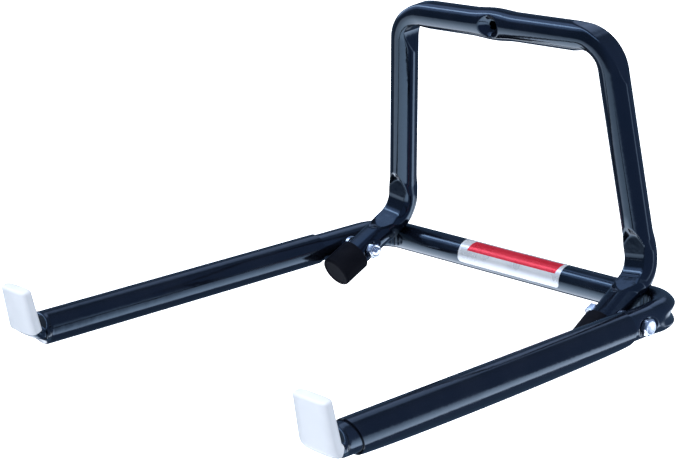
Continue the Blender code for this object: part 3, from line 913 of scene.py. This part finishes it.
world = bpy.data.worlds.new("studio")
bpy.context.scene.world = world
world.use_nodes = True
air, string = world.node_tree.nodes, world.node_tree.links.new
sky = air["Background"]
looking = air.new("ShaderNodeTexCoord").outputs["Generated"]


def glow(direction, low, high, colour=(1.0, 1.0, 1.0)):
    """A soft-edged region of the studio, on the side that a direction points to."""
    facing = air.new("ShaderNodeVectorMath")
    facing.operation = "DOT_PRODUCT"
    facing.inputs[1].default_value = direction
    string(looking, facing.inputs[0])
    edge = air.new("ShaderNodeMapRange")
    edge.interpolation_type = "SMOOTHSTEP"
    edge.inputs["From Min"].default_value = low
    edge.inputs["From Max"].default_value = high
    string(facing.outputs["Value"], edge.inputs["Value"])
    tint = air.new("ShaderNodeVectorMath")
    tint.operation = "SCALE"
    tint.inputs[0].default_value = colour
    string(edge.outputs["Result"], tint.inputs["Scale"])
    return tint.outputs["Vector"]


def together(operation, one, *others):
    """Adds or multiplies two or more regions of the studio."""
    for other in others:
        both = air.new("ShaderNodeVectorMath")
        both.operation = operation
        string(one, both.inputs[0])
        string(other, both.inputs[1])
        one = both.outputs["Vector"]
    return one


def evenly(colour):
    """The same colour on every side."""
    return glow((0.0, 0.0, 0.0), -2.0, -1.0, colour)


def soft_box(rise, half_width, colour):
    """A long soft box overhead, lying along the bars, at an angle up from the front."""
    across = Vector((0.0, math.sin(math.radians(rise)), math.cos(math.radians(rise))))
    edge = -math.sin(math.radians(half_width))
    core = edge * 0.55
    return together("MULTIPLY", glow(across, edge, core, colour), glow(-across, edge, core),
                    glow((-0.55, 0.0, 0.83), 0.55, 0.75))


table = together("MULTIPLY", glow((-0.14, -0.14, -1.0), 0.24, 0.34, (3.1, 3.3, 3.7)),
                 glow((-0.50, -0.87, 0.0), -0.22, -0.08), glow((0.97, 0.10, 0.20), -0.90, -0.83),
                 glow((0.0, -1.0, 0.5), -0.60, -0.50))
window = together("MULTIPLY", glow((0.78, 0.63, 0.0), 0.67, 0.73, (3.2, 3.6, 4.2)),
                  glow((-0.47, 0.88, 0.0), 0.0, 0.12), glow((0.0, -3.5, -1.0), -2.16, -2.02))
lower_down = together("ADD", glow((0.0, 0.0, -1.0), 0.10, 0.65, (0.62, 0.62, 0.62)),
                      evenly((0.38, 0.38, 0.38)))
below = together("MULTIPLY", together("ADD", table, window), lower_down)
ceiling = together("ADD", soft_box(76.0, 4.5, (4.2, 5.0, 6.2)), soft_box(80.0, 26.0, (0.75, 1.00, 1.6)))
beyond = glow((-0.33, 0.75, 0.57), 0.95, 0.99, (0.60, 0.75, 1.10))
room = together("ADD", evenly((0.08, 0.14, 0.24)), glow((1.0, 0.0, 0.0), -0.2, 0.6, (0.10, 0.13, 0.26)))
behind = together("MULTIPLY", glow((0.0, 1.0, 0.0), 0.77, 0.84, (1.6, 1.8, 2.1)),
                  glow((0.0, 0.0, -1.0), 0.42, 0.52))
seen = together("ADD", below, ceiling, room, beyond, behind)
rays = air.new("ShaderNodeLightPath")
for flag, colour in (("Is Diffuse Ray", (0.74, 0.79, 0.87, 1.0)), ("Is Camera Ray", (1.0, 1.0, 1.0, 1.0))):
    choice = air.new("ShaderNodeMix")
    choice.data_type = "RGBA"
    string(rays.outputs[flag], choice.inputs["Factor"])
    string(seen, choice.inputs["A"])
    choice.inputs["B"].default_value = colour
    seen = choice.outputs["Result"]
string(seen, sky.inputs["Color"])


def hang_sun(name, place, energy, spread, colour=(1.0, 1.0, 1.0)):
    """A soft sun that shines from a place towards the rack, and that nothing mirrors."""
    bpy.ops.object.light_add(type="SUN", location=place)
    sun = bpy.context.object
    sun.name = name
    sun.data.energy = energy
    sun.data.angle = spread
    sun.data.color = colour
    sun.visible_glossy = False
    sun.rotation_euler = sun.location.to_track_quat("Z", "Y").to_euler()


hang_sun("soft_key", (-1.0, -1.4, 1.6), 1.05, math.radians(50.0), (1.0, 0.99, 0.97))
hang_sun("top_light", (0.1, -0.1, 2.0), 1.0, math.radians(40.0))
bpy.context.scene.view_settings.view_transform = "Standard"
